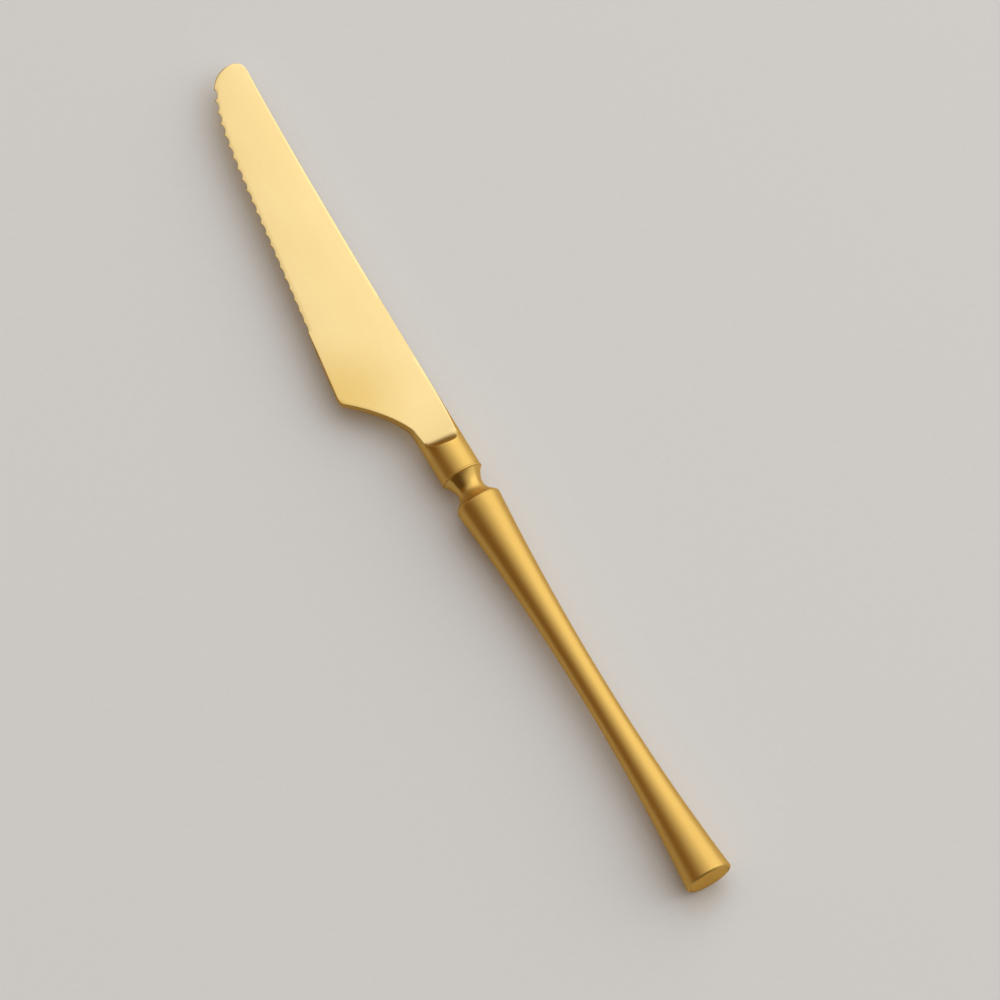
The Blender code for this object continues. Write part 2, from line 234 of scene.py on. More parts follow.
def resampled(points, count):
    """count points at even spacing along a polyline, both ends included."""
    lengths = lengths_along(points)
    out = []
    for d in np.linspace(0, lengths[-1], count):
        i = min(int(np.searchsorted(lengths, d, side="right")) - 1, len(points) - 2)
        span = lengths[i + 1] - lengths[i]
        out.append(points[i].lerp(points[i + 1], (d - lengths[i]) / span if span > 0 else 0))
    return out


def rounded(corners, steps):
    """An (x, radius) profile from (x, radius, rounding) corners, rounded over that length."""
    out = []
    for i, (x, r, size) in enumerate(corners):
        here = Vector((x, r))
        if size == 0 or i in (0, len(corners) - 1):
            out.append(here)
            continue
        before = Vector(corners[i - 1][:2]) - here
        after = Vector(corners[i + 1][:2]) - here
        start = here + before.normalized() * min(size, before.length * ROUND_SHARE)
        end = here + after.normalized() * min(size, after.length * ROUND_SHARE)
        out += arc([start, here, end], steps)
    return out


def made(name, bm):
    """An object from a mesh in knife millimetres, with its faces outwards."""
    bmesh.ops.remove_doubles(bm, verts=bm.verts, dist=WELD)
    bmesh.ops.dissolve_degenerate(bm, edges=bm.edges, dist=WELD)
    bmesh.ops.recalc_face_normals(bm, faces=bm.faces)
    for edge in bm.edges:
        if edge.is_manifold and edge.calc_face_angle() > SHARP_ANGLE:
            edge.smooth = False
    for face in bm.faces:
        face.smooth = True
    for vert in bm.verts:
        vert.co = AXIS_START + vert.co * MM
    mesh = bpy.data.meshes.new(name)
    bm.to_mesh(mesh)
    bm.free()
    piece = bpy.data.objects.new(name, mesh)
    bpy.context.scene.collection.objects.link(piece)
    weights = piece.modifiers.new("flat faces lead", "WEIGHTED_NORMAL")
    weights.keep_sharp = True
    weights.weight = FLAT_FACE_WEIGHT
    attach(piece, "root")
    return piece


def turned(profile):
    """Spin a closed loop of (x, radius) points about the axis; points on the axis become poles."""
    bm = bmesh.new()
    rings = []
    for step in range(TURN_STEPS):
        turn = math.tau * step / TURN_STEPS
        sine, cosine = math.sin(turn), math.cos(turn)
        rings.append([bm.verts.new((p.x, p.y * sine, p.y * cosine)) for p in profile])
    for step in range(TURN_STEPS):
        a, b = rings[step], rings[(step + 1) % TURN_STEPS]
        for i in range(len(profile)):
            j = (i + 1) % len(profile)
            if profile[i].y > 0 or profile[j].y > 0:
                bm.faces.new((a[i], b[i], b[j], a[j]))
    return bm


def handle_radius(x):
    half = HANDLE_LENGTH / 2
    end = BUTT_RADIUS if x < half else SHOULDER_RADIUS
    return mix(WAIST_RADIUS, end, ((x - half) / half) ** 2)


def handle_piece():
    outside_x = np.linspace(HANDLE_END_MARGIN, HANDLE_LENGTH - HANDLE_END_MARGIN, HANDLE_RINGS)
    inside_front = HANDLE_LENGTH - SHELL_WALL / 2
    inside_x = np.linspace(inside_front, 0, INSIDE_RINGS)
    corners = [
        (0, handle_radius(0) - RIM_WIDTH, 0),
        (0, handle_radius(0) - RIM_CHAMFER, RIM_ROUND),
        (RIM_CHAMFER, handle_radius(RIM_CHAMFER), RIM_ROUND),
        *[(x, handle_radius(x), 0) for x in outside_x],
        (HANDLE_LENGTH, SHOULDER_RADIUS, SHOULDER_ROUND),
        (MOUTH_X, MOUTH_RADIUS, MOUTH_ROUND),
        (MOUTH_X, MOUTH_HOLE_RADIUS, 0),
        (inside_front, MOUTH_HOLE_RADIUS, 0),
        *[(x, handle_radius(x) - SHELL_WALL, 0) for x in inside_x],
    ]
    return made("handle", turned(rounded(corners, HANDLE_ROUND_STEPS)))


def cap_piece():
    rim = handle_radius(0) - SHELL_WALL - SEAM_GAP
    back = handle_radius(CAP_THICKNESS) - SHELL_WALL - SEAM_GAP
    corners = [
        *[(0.0, r, 0) for r in np.linspace(0, rim, CAP_FACE_RINGS)[:-1]],
        (0, rim, CAP_RIM_ROUND),
        (CAP_THICKNESS, back, CAP_BACK_ROUND),
        (CAP_THICKNESS, 0, 0),
    ]
    return made("end_cap_disc", turned(rounded(corners, CAP_ROUND_STEPS)))


def toward(start, corner, end, fullness):
    """Controls of a curve from start to end that leans into a corner."""
    return [start, start.lerp(corner, fullness), end.lerp(corner, fullness), end]


# Plan curves of the blade, as the CAD has them
spine_level = Vector((SPINE_LEVEL_X, -BOLSTER_RADIUS))
spine_end = Vector((TIP_X - CORNER_LENGTH, -BOLSTER_RADIUS - SPINE_RISE))
spine_climb = spine_end - spine_level
spine_corner = spine_end + spine_climb * (CORNER_LENGTH / spine_climb.x)
tip = Vector((TIP_X, -TIP_RISE))
sweep = Vector((TIP_X - SWEEP_LENGTH, SWEEP_DROP))
heel = Vector((HEEL_X, HEEL_DROP))
edge_way = (sweep - heel).normalized()
sweep_corner = sweep + edge_way * (SWEEP_LENGTH / edge_way.x)
choil_way = Vector((math.cos(CHOIL_SLOPE), math.sin(CHOIL_SLOPE)))
choil_start = Vector((CHOIL_X, BOLSTER_RADIUS))
choil_corner = heel - choil_way * ((HEEL_DROP - BOLSTER_RADIUS) / choil_way.y)
heel_front = heel + edge_way * HEEL_ROUND
heel_rear = heel - choil_way * HEEL_ROUND
SPINE = [Vector((STEP_X, -BOLSTER_RADIUS)), spine_level, spine_end]
CORNER = toward(spine_end, spine_corner, tip, CORNER_FULLNESS)
SWEEP = toward(sweep, sweep_corner, tip, SWEEP_FULLNESS)
HEEL = toward(heel_rear, heel, heel_front, HEEL_FULLNESS)
CHOIL = toward(choil_start, choil_corner, heel_rear, CHOIL_FULLNESS)

spine_line = arc(SPINE, SPINE_STEPS)
spine_whole = spine_line + arc(CORNER, CORNER_STEPS)[1:]
choil_line = [Vector((STEP_X, BOLSTER_RADIUS))] + arc(CHOIL, CHOIL_STEPS) + [heel]
edge_base = [heel_front] + arc(SWEEP, SWEEP_STEPS)
edge_lengths = lengths_along(edge_base)
EDGE_TOTAL = edge_lengths[-1]
edge_whole = choil_line[:-1] + arc(HEEL, HEEL_STEPS)[1:] + edge_base[1:]


def y_on(line, x):
    """The y of a plan polyline at an x."""
    return float(np.interp(x, [p.x for p in line], [p.y for p in line]))


def edge_at(distance):
    """Point and outward normal on the plain edge, at a distance from the tip along it."""
    d = EDGE_TOTAL - distance
    i = min(max(int(np.searchsorted(edge_lengths, d)) - 1, 0), len(edge_base) - 2)
    a, b = edge_base[i], edge_base[i + 1]
    way = (b - a).normalized()
    return a + way * (d - edge_lengths[i]), Vector((-way.y, way.x))


# Thickness of the blade, and the fillet that meets the ramp at the step
TAPER = (HEEL_HALF - TIP_HALF) / (TIP_X - HEEL_X)
CLIMB = ROOT_HALF - HEEL_HALF - TAPER * (HEEL_X - RAMP_X)
RAMP_LEAN = math.atan(2 * CLIMB / (HEEL_X - RAMP_X) + TAPER)
FILLET_TURN = math.atan(STEP_FILLET / (STEP_RUNOUT * math.tan(RAMP_LEAN)))
FILLET_X = RAMP_X + STEP_RUNOUT * math.cos(FILLET_TURN)
FILLET_Z = ROOT_HALF + STEP_FILLET * math.sin(FILLET_TURN)


def half_at(x):
    """Half thickness of the ground blade."""
    behind = max(0.0, HEEL_X - x) / (HEEL_X - RAMP_X)
    return HEEL_HALF - TAPER * (x - HEEL_X) + CLIMB * behind**2


CREST_ANGLE = math.acos(half_at(CREST_END_X) / BOLSTER_RADIUS)


def circle_ring(x, radius):
    """A ring of the turned part: over the top, down the spine side, under, up the edge side."""
    spine_low = CREST_ANGLE - math.pi
    edge_low = -math.pi - CREST_ANGLE
    edge_high = CREST_ANGLE - math.tau
    angles = [
        *np.linspace(CREST_ANGLE, -CREST_ANGLE, TOP),
        *np.linspace(-CREST_ANGLE, spine_low, SIDE + 2)[1:-1],
        *np.linspace(spine_low, edge_low, TOP),
        *np.linspace(edge_low, edge_high, SIDE + BEVEL_COLUMNS + 2)[1:-1],
    ]
    return [Vector((x, radius * math.sin(a), radius * math.cos(a))) for a in angles]


def tang_rings():
    """The flat tang inside the handle, up to the spigot."""
    rings = []
    for x in np.linspace(TANG_END_X, TANG_FRONT_X, TANG_RINGS):
        ring = circle_ring(x, SPIGOT_RADIUS)
        for p in ring:
            p.y = max(-TANG_HALF_WIDTH, min(TANG_HALF_WIDTH, p.y))
            p.z = max(-TANG_HALF_THICKNESS, min(TANG_HALF_THICKNESS, p.z))
        rings.append(ring)
    return rings


def neck_rings():
    neck = []
    for share in np.linspace(1, 0, NECK_RINGS):
        radius = mix(NECK_WAIST_RADIUS, FOOT_RADIUS, share**FOOT_FLARE)
        neck.append((mix(NECK_WAIST_X, FOOT_X, share), radius, 0))
    for share in np.linspace(0, 1, NECK_RINGS)[1:]:
        radius = mix(NECK_WAIST_RADIUS, NECK_TOP_RADIUS, share**TOP_FLARE)
        neck.append((mix(NECK_WAIST_X, BOLSTER_X, share), radius, 0))
    corners = [
        (FOOT_X - SPIGOT_LENGTH, SPIGOT_RADIUS, 0),
        (FOOT_X, SPIGOT_RADIUS, 0),
        (FOOT_X, FOOT_RADIUS, FOOT_ROUND),
        *neck[1:-1],
        (BOLSTER_X, NECK_TOP_RADIUS, NECK_TOP_ROUND),
        (BOLSTER_X, LIP_RADIUS, LIP_REAR_ROUND),
        (BOLSTER_X + LIP_WIDTH, LIP_RADIUS, LIP_FRONT_ROUND),
        (BOLSTER_X + LIP_FOOT, BOLSTER_RADIUS, LIP_FOOT_ROUND),
        *[(x, BOLSTER_RADIUS, 0) for x in BOLSTER_RING_X],
    ]
    return [circle_ring(p.x, p.y) for p in rounded(corners, NECK_ROUND_STEPS)]


def beyond_crest(level):
    """(x, height) down the fillet and on to the ramp, from the crest at a height of the round."""
    foot = Vector((CREST_END_X, half_at(CREST_END_X)))
    points = []
    start_turn = 0.0
    if level > FILLET_Z:
        points.append(Vector((FILLET_X - STEP_RUNOUT, level)))
    else:
        start_turn = math.asin(min(1.0, (FILLET_Z - level) / STEP_FILLET))
    if start_turn >= FILLET_TURN:
        return points + [Vector((CREST_END_X, level)), foot]
    for turn in np.linspace(start_turn, FILLET_TURN, FILLET_STEPS):
        x = FILLET_X - STEP_RUNOUT * math.cos(turn)
        points.append(Vector((x, FILLET_Z - STEP_FILLET * math.sin(turn))))
    return points + [foot]


def crest_column(turn, side):
    """One column over the step: along the round, over the crest, down the fillet, to the ramp."""
    level = BOLSTER_RADIUS * math.cos(turn)
    y = BOLSTER_RADIUS * math.sin(turn)
    after = beyond_crest(level)
    crest = after[0]
    fine = resampled(after, CREST_SAMPLES)
    reach = sum((b - a).length for a, b in zip(fine, fine[1:]))
    size = min(CREST_ROUND, reach * CREST_ROUND_SHARE)
    leave = crest
    if reach > LEAST_REACH:
        final = CREST_SAMPLES - 1
        leave = fine[min(final, max(1, round(size / reach * final)))]
    before = Vector((crest.x - size, level))
    first = resampled([Vector((CREST_START_X, level)), before], CREST_ROWS[0])
    over = arc([before, crest, leave], CREST_ROWS[1] + 1)[1:-1]
    least = (leave - crest).length
    cut = [p for p in fine if (p - crest).length >= least and p.x >= leave.x - SLACK]
    last = resampled([leave] + cut[1:] + [after[-1]], CREST_ROWS[2])
    # The cut lies a little askew: the crest moves along the knife, both ends of the column stay
    skew = CREST_SKEW * y * min(1.0, CREST_END_X - crest.x)
    column = []
    for p in first + over + last:
        if p.x < crest.x:
            share = (p.x - CREST_START_X) / (crest.x - CREST_START_X)
        else:
            share = (CREST_END_X - p.x) / max(CREST_END_X - crest.x, TINY)
        column.append(Vector((p.x + skew * share, y, side * p.y)))
    return column


def wall_columns(at, high, low, inward, low_way, size_high, size_low):
    """One side of a ring, from top to under side: (face point, columns, under point)."""
    top, bottom = at(high), at(low)
    face_top = top + Vector((inward.x, inward.y, 0)) * size_high
    face_low = bottom + low_way * size_low
    first, last = high - size_high, low + size_low
    columns = arc([face_top, top, at(first)], ROUND_COLUMNS)[1:]
    columns += [at(float(z)) for z in np.linspace(first, last, WALL_COLUMNS + 2)[1:-1]]
    columns += arc([at(last), bottom, face_low], ROUND_COLUMNS)[:-1]
    return face_top, columns, face_low


def spine_side(plan, normal, half, crown, size, bulge):
    """The spine's wall: the round that the blade was cut from, flattened where bulge falls to 0."""
    round_radius = abs(plan.y)

    def at(z):
        inset = bulge * (round_radius - math.sqrt(round_radius**2 - z * z))
        return Vector((plan.x - normal.x * inset, plan.y - normal.y * inset, z))

    inward = Vector((-normal.x, -normal.y, 0))
    return wall_columns(at, half - crown, -half, -normal, inward, size, size)


def root_side(plan, normal, half, crown, size):
    """The edge side up to the heel: the round of the bolster runs out into the choil's wall."""
    fade = 1 - smooth((plan.x - ROUND_FADE[0]) / (ROUND_FADE[1] - ROUND_FADE[0]))

    def at(z):
        inset = fade * (BOLSTER_RADIUS - math.sqrt(BOLSTER_RADIUS**2 - z * z))
        barrel = (1 - fade) * WALL_BARREL * (z / half) ** 2
        return Vector((plan.x - normal.x * barrel, plan.y - inset - normal.y * barrel, z))

    inward = Vector((-normal.x, -normal.y, 0))
    face, columns, low = wall_columns(at, half - crown, -half, -normal, inward, size, size)
    inner = low + inward * BEVEL_LEAST
    return face, columns, low, inner


def edge_side(distance, plan, normal, base, out, depth, lean, half, crown):
    """The cutting edge: a wall that leans in under the scallops, and the under side's bevel."""
    high = half - crown
    thick = high + half
    from_end = min(distance - BEVEL_FIRST, BEVEL_LAST - distance)
    runout = min(1.0, max(0.0, from_end / BEVEL_RUNOUT))
    size = mix(CHOIL_ROUND, TOOTH_ROUND, runout)
    sink = thick * (1 - runout)
    slope = (thick - EDGE_THICKNESS) / BEVEL_WIDTH
    wall = min(thick, (EDGE_THICKNESS + sink + depth * slope) / (1 - lean * slope))
    reach = depth + wall * lean

    def at(z):
        flat = plan - out * (lean * (high - z))
        return Vector((flat.x, flat.y, z))

    width = max(BEVEL_WIDTH - sink / slope, reach + BEVEL_LEAST)
    inner = base - out * width
    inner = Vector((inner.x, inner.y, -half))
    low_way = (inner - at(high - wall)).normalized()
    size_low = min(size, EDGE_ROUND + sink * EDGE_ROUND_GROWTH)
    face, columns, low = wall_columns(at, high, high - wall, -normal, low_way, size, size_low)
    return face, columns, low, inner


def crown_at(x):
    """The top face is very slightly crowned, from nothing at the root."""
    full = CROWN * smooth((x - CHOIL_X) / (CROWN_FULL_X - CHOIL_X))
    eased = smooth((x - CROWN_EASE[0]) / (CROWN_EASE[1] - CROWN_EASE[0]))
    return full * mix(1.0, TIP_CROWN_SHARE, eased)


def sink_at(x, y):
    """How far the crowned top face lies below its level at a point of the plan."""
    e_y = y_on(edge_whole, x)
    s_y = y_on(spine_whole, x)
    aside = (2 * y - e_y - s_y) / max(e_y - s_y, CROWN_LEAST_WIDTH)
    return crown_at(x) * min(1.0, aside * aside)


def across(e_face, s_face, plain, inset):
    """A ring's columns over the top face: the second one lies at an inset from the plain edge."""
    span = (s_face.xy - plain).length
    first = min(inset, span * INSET_SHARE)
    shares = np.linspace(first / span, 1, TOP - 1)
    flat = [e_face.xy] + [plain.lerp(s_face.xy, share) for share in shares]
    return [Vector((p.x, p.y, half_at(p.x) - sink_at(p.x, p.y))) for p in flat]


def ring_of(e_side, s_side, plain=None, inset=0.0):
    """A ring of the blade from its edge side and its spine side."""
    e_face, e_columns, e_low, e_inner = e_side
    s_face, s_columns, s_low = s_side
    if plain is None:
        plain = e_face.xy
        inset = (s_face.xy - plain).length / (TOP - 1)
    top = across(e_face, s_face, plain, inset)
    under = [s_low.lerp(e_inner, share) for share in np.linspace(0, 1, TOP)]
    under = [Vector((p.x, p.y, -half_at(p.x))) for p in under]
    bevel = [e_inner.lerp(e_low, 0.5), e_low]
    return top + s_columns + under + bevel + list(reversed(e_columns))


def edge_run():
    """(distance from the tip, scallop's depth, share of its lean), from the heel to the tip."""
    run = [(d, 0.0, 0.0) for d in np.linspace(EDGE_TOTAL, LAST_TOOTH, PLAIN_EDGE_RINGS)[1:-1]]
    half = SCALLOP_LENGTH / 2
    steep = -half + SCALLOP_LENGTH * SCALLOP_STEEP_SHARE
    ease = half - SCALLOP_LENGTH * SCALLOP_EASE_SHARE
    for i in reversed(range(SCALLOPS)):
        middle = FIRST_SCALLOP + PITCH * i
        depth = mix(DEPTH_FRONT, DEPTH_REAR, i / (SCALLOPS - 1))
        pull = depth * 4 / 3  # a cubic curve comes three quarters of the way to its controls
        hollow = [(-half, 0), (steep, pull), (ease, pull), (half, 0)]
        for share in SCALLOP_SHARES:
            point = bezier(hollow, share)
            lean = smooth(share / LEAN_FADE) * smooth((1 - share) / LEAN_FADE)
            run.append((middle - point.x, max(0.0, point.y), lean))
        run.append((middle - PITCH / 2, 0.0, 0.0))
    nose = np.linspace(FIRST_SCALLOP - PITCH / 2, 0, NOSE_RINGS)[1:-1]
    return run + [(d, 0.0, 0.0) for d in nose]


def polyline_normals(points):
    """Normals to the left of the way along a plan polyline."""
    normals = []
    for i in range(len(points)):
        before = points[max(i - 1, 0)]
        after = points[min(i + 1, len(points) - 1)]
        way = (after - before).normalized()
        normals.append(Vector((-way.y, way.x)))
    return normals


def root_rings():
    """From the end of the crest to the start of the choil."""
    rings = []
    for i in range(ROOT_RINGS):
        x = mix(CREST_END_X, CHOIL_X, (i / ROOT_RINGS) ** ROOT_GATHER)
        share = (x - CREST_END_X) / (CHOIL_X - CREST_END_X)
        half = half_at(x)
        e_size = mix(ROOT_ROUND, ROOT_EDGE_ROUND, share)
        s_size = mix(ROOT_ROUND, SPINE_ROUND, share)
        e = root_side(Vector((x, y_on(choil_line, x))), Vector((0, 1)), half, 0, e_size)
        s = spine_side(Vector((x, y_on(spine_line, x))), Vector((0, -1)), half, 0, s_size, 1)
        rings.append(ring_of(e, s))
    return rings


def step_rings(first_ring, joint):
    """Over the step: columns on the top and under side cross the crest, others keep the round."""
    turns = np.linspace(CREST_ANGLE, -CREST_ANGLE, TOP)
    over = [crest_column(t, 1) for t in turns]
    under = [crest_column(-t, -1) for t in turns]
    rings = []
    count = sum(CREST_ROWS)
    for row in range(1, count - 1):
        share = row / (count - 1)
        ring = []
        for i, (a, b) in enumerate(zip(first_ring, joint)):
            if i < TOP:
                ring.append(over[i][row])
            elif TOP + SIDE <= i < 2 * TOP + SIDE:
                ring.append(under[i - TOP - SIDE][row])
            else:
                y, z = mix(a.y, b.y, share), mix(a.z, b.z, share)
                grow = BOLSTER_RADIUS / math.hypot(y, z)
                ring.append(Vector((mix(a.x, b.x, share), y * grow, z * grow)))
        rings.append(ring)
    return rings


def choil_rings():
    """Along the choil and round the heel."""
    rings = []
    plan = arc(CHOIL, CHOIL_RINGS) + arc(HEEL, HEEL_STEPS)[1:]
    for point, left in zip(plan, polyline_normals(plan)):
        half = half_at(point.x)
        progress = smooth((point.x - CHOIL_X) / (HEEL_X - CHOIL_X))
        e = root_side(point, left, half, sink_at(*point), CHOIL_ROUND)
        back = Vector((point.x, y_on(spine_line, point.x)))
        s = spine_side(back, Vector((0, -1)), half, sink_at(*back), SPINE_ROUND, 1)
        rings.append(ring_of(e, s, point, mix(CHOIL_INSET, SCALLOP_INSET, progress)))
    return rings


def edge_rings():
    """Along the edge, with its scallops, out to the tip."""
    rings = []
    run = edge_run()
    bases = [edge_at(d) for d, depth, lean in run]
    plans = [base - out * depth for (base, out), (d, depth, lean) in zip(bases, run)]
    normals = polyline_normals([heel_front] + plans + [tip])[1:-1]
    spine_rest = [Vector((heel_front.x, y_on(spine_line, heel_front.x)))]
    spine_rest += [p for p in spine_whole if p.x > heel_front.x]
    spine_dense = resampled(spine_rest, SPINE_SAMPLES)
    spine_normals = polyline_normals(spine_dense)
    for (d, depth, lean), (base, out), point, left in zip(run, bases, plans, normals):
        share = 1 - d / EDGE_TOTAL
        half, crown = half_at(point.x), sink_at(*point)
        e = edge_side(d, point, left, base, out, depth, lean * LEAN, half, crown)
        i = round(share * (SPINE_SAMPLES - 1))
        back = spine_dense[i]
        half, crown = half_at(back.x), sink_at(*back)
        bulge = 1 - smooth((share - BULGE_FADE[0]) / BULGE_FADE[1])
        s = spine_side(back, -spine_normals[i], half, crown, SPINE_ROUND, bulge)
        rings.append(ring_of(e, s, base, SCALLOP_INSET))
    half, crown = half_at(TIP_X), sink_at(*tip)
    face, columns, low = spine_side(tip, Vector((1, 0)), half, crown, CHOIL_ROUND, 0)
    rings.append([face] * TOP + columns + [low] * (TOP + BEVEL_COLUMNS) + columns[::-1])
    return rings


def blade_rings():
    crest_ring = circle_ring(CREST_START_X, BOLSTER_RADIUS)
    root = root_rings()
    step = [crest_ring] + step_rings(crest_ring, root[0])
    return tang_rings() + neck_rings() + step + root + choil_rings() + edge_rings()


def blade_piece():
    bm = bmesh.new()
    verts = [[bm.verts.new(p) for p in ring] for ring in blade_rings()]
    count = len(verts[0])
    for a, b in zip(verts, verts[1:]):
        for i in range(count):
            j = (i + 1) % count
            bm.faces.new((a[i], a[j], b[j], b[i]))
    bm.faces.new(verts[0])
    for a, b in zip(verts, verts[1:]):
        if a[BEVEL_COLUMN].co.x > HEEL_X:
            bm.edges.get((a[BEVEL_COLUMN], b[BEVEL_COLUMN])).smooth = False
    return made("blade_forged", bm)


handle = handle_piece()
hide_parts("handle_shell_upper", "handle_shell_lower")
cap = cap_piece()
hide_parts("end_cap")
blade = blade_piece()
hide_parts("blade")

# Materials: colours are (deep, pale) pairs, finishes are (low, high) roughness, and the scales
# of noise are (along, across, across) per metre
HANDLE_GOLD = ((0.655, 0.40, 0.090), (0.685, 0.423, 0.100))
CAP_GOLD = ((0.70, 0.42, 0.06), (0.74, 0.45, 0.07))
# Gold of the turned bolster and neck, also laid on the blade's rounded edges and walls as painted
# shade
TURNED_AND_EDGE_SHADE_GOLD = ((0.665, 0.41, 0.094), (0.695, 0.435, 0.104))
GROUND_GOLD = ((0.93, 0.69, 0.295), (0.96, 0.72, 0.32))
# Painted shade: a deeper, darker gold laid on round the heel's corner of the blade
PAINTED_HEEL_SHADE_GOLD = ((0.84, 0.575, 0.18), (0.86, 0.6, 0.2))
CEMENT_GREY = ((0.36, 0.34, 0.31), (0.5, 0.48, 0.45))
FLOOR_GREY = ((0.83, 0.82, 0.80), (0.87, 0.86, 0.84))
HANDLE_ROUGH = (0.36, 0.44)
CAP_ROUGH = (0.45, 0.55)
FOOT_ROUGH = (0.5, 0.58)
NECK_ROUGH = (0.2, 0.25)
BOLSTER_ROUGH = (0.38, 0.45)
BLADE_ROUGH = (0.27, 0.33)
CEMENT_ROUGH = 0.9
FLOOR_ROUGH = 0.35
FINISH_ZONES = (
    ((NECK_WAIST_X - 2.0, NECK_WAIST_X + 0.4), NECK_ROUGH),
    ((BOLSTER_X - 0.3, BOLSTER_X), BOLSTER_ROUGH),
    ((STEP_X - 2, STEP_X + 1), BLADE_ROUGH),
)
LONG_BRUSH = (60, 5000, 5000)
CAP_BRUSH = (3000, 400, 6000)
HANDLE_CLOUD = (20, 120, 120)
CAP_CLOUD = (100, 200, 200)
BLADE_CLOUD = (40, 90, 90)
CEMENT_GRAIN = (900, 900, 900)
FLOOR_GRAIN = (700, 700, 700)
BRUSH_DETAIL = 3.0
CLOUD_DETAIL = 2.0
GRAIN_DETAIL = 4.0
NOISE_ROUGHNESS = 0.6
NOISE_RANGE = (0.3, 0.7)
BRUSH_DEPTH = 0.00001
HANDLE_BRUSHING = 0.15
BLADE_BRUSHING = 0.05
GRAZING_TINT = (1.0, 0.76, 0.42, 1)
COAT_WEIGHT = 0.2
COAT_IOR = 1.7
COAT_ROUGH = 0.3
# Painted shade: the span of the normal's z over which a blade surface changes from the deeper
# turned gold to the ground gold
PAINTED_EDGE_SHADE_LEVEL = (0.8, 0.985)
GROUND_START = (STEP_X + 0.25, STEP_X + 0.5)
# Painted shade: millimetres from the heel's corner over which its darker gold fades out
PAINTED_HEEL_SHADE_REACH = 20


def shader_of(name):
    material = bpy.data.materials.new(name)
    material.use_nodes = True
    tree = material.node_tree
    return material, tree, tree.nodes["Principled BSDF"]


def add(tree, kind, **settings):
    node = tree.nodes.new(kind)
    for key, value in settings.items():
        if key in node.inputs:
            node.inputs[key].default_value = value
        else:
            setattr(node, key, value)
    return node


def mapped(tree, value, span, to=(0.0, 1.0), kind="LINEAR"):
    """A linked value mapped from a span to another one."""
    node = add(tree, "ShaderNodeMapRange", interpolation_type=kind)
    node.inputs["From Min"].default_value, node.inputs["From Max"].default_value = span
    node.inputs["To Min"].default_value, node.inputs["To Max"].default_value = to
    tree.links.new(value, node.inputs["Value"])
    return node.outputs["Result"]


def stepped(tree, value, span):
    """A smooth step from 0 at the start of a span to 1 at its end."""
    return mapped(tree, value, span, kind="SMOOTHSTEP")


def worked(tree, operation, first, second):
    """A maths node on a linked value and another one or a number."""
    node = add(tree, "ShaderNodeMath", operation=operation)
    tree.links.new(first, node.inputs[0])
    if isinstance(second, float):
        node.inputs[1].default_value = second
    else:
        tree.links.new(second, node.inputs[1])
    return node.outputs["Value"]


def split(tree, vector):
    """The parts of a linked vector."""
    node = add(tree, "ShaderNodeSeparateXYZ")
    tree.links.new(vector, node.inputs["Vector"])
    return node.outputs


def beyond(tree, where, span):
    """0 behind a span of the knife's x, 1 ahead of it."""
    return mapped(tree, where["X"], [AXIS_START.x + x * MM for x in span])


def streaks(tree, scale, detail):
    """Noise in the object's own coordinates, drawn out where its scale is small."""
    place = add(tree, "ShaderNodeTexCoord")
    stretch = add(tree, "ShaderNodeMapping")
    stretch.inputs["Scale"].default_value = scale
    noise = add(tree, "ShaderNodeTexNoise", Scale=1.0, Detail=detail, Roughness=NOISE_ROUGHNESS)
    tree.links.new(place.outputs["Object"], stretch.inputs["Vector"])
    tree.links.new(stretch.outputs["Vector"], noise.inputs["Vector"])
    return noise.outputs["Fac"]


def blended(tree, value, low, high):
    """A mix of two colours by a linked value."""
    node = add(tree, "ShaderNodeMix", data_type="RGBA")
    node.inputs[6].default_value = (*low, 1)
    node.inputs[7].default_value = (*high, 1)
    tree.links.new(value, node.inputs[0])
    return node.outputs[2]


def mixed(tree, share, low, high, kind="RGBA"):
    """A mix of two linked values."""
    node = add(tree, "ShaderNodeMix", data_type=kind)
    low_socket, high_socket, result = {"RGBA": (6, 7, 2), "FLOAT": (2, 3, 0)}[kind]
    tree.links.new(share, node.inputs[0])
    tree.links.new(low, node.inputs[low_socket])
    tree.links.new(high, node.inputs[high_socket])
    return node.outputs[result]


def satin(tree, shader, fine, strength):
    """Brushing under a thin clear coat, with reflections that stay gold at a grazing angle."""
    shader.inputs["Metallic"].default_value = 1.0
    shader.inputs["Specular Tint"].default_value = GRAZING_TINT
    shader.inputs["Coat Weight"].default_value = COAT_WEIGHT
    shader.inputs["Coat Roughness"].default_value = COAT_ROUGH
    shader.inputs["Coat IOR"].default_value = COAT_IOR
    brush = streaks(tree, fine, BRUSH_DETAIL)
    bump = add(tree, "ShaderNodeBump", Strength=strength, Distance=BRUSH_DEPTH)
    tree.links.new(brush, bump.inputs["Height"])
    tree.links.new(bump.outputs["Normal"], shader.inputs["Normal"])
    return brush


def clouds_of(tree, scale):
    return mapped(tree, streaks(tree, scale, CLOUD_DETAIL), NOISE_RANGE)


def gold(name, colours, rough, fine, cloud):
    """Satin gold-coloured steel: fine brushing and a faint cloudiness."""
    material, tree, shader = shader_of(name)
    brush = satin(tree, shader, fine, HANDLE_BRUSHING)
    colour = blended(tree, clouds_of(tree, cloud), *colours)
    tree.links.new(colour, shader.inputs["Base Color"])
    tree.links.new(mapped(tree, brush, NOISE_RANGE, rough), shader.inputs["Roughness"])
    return material


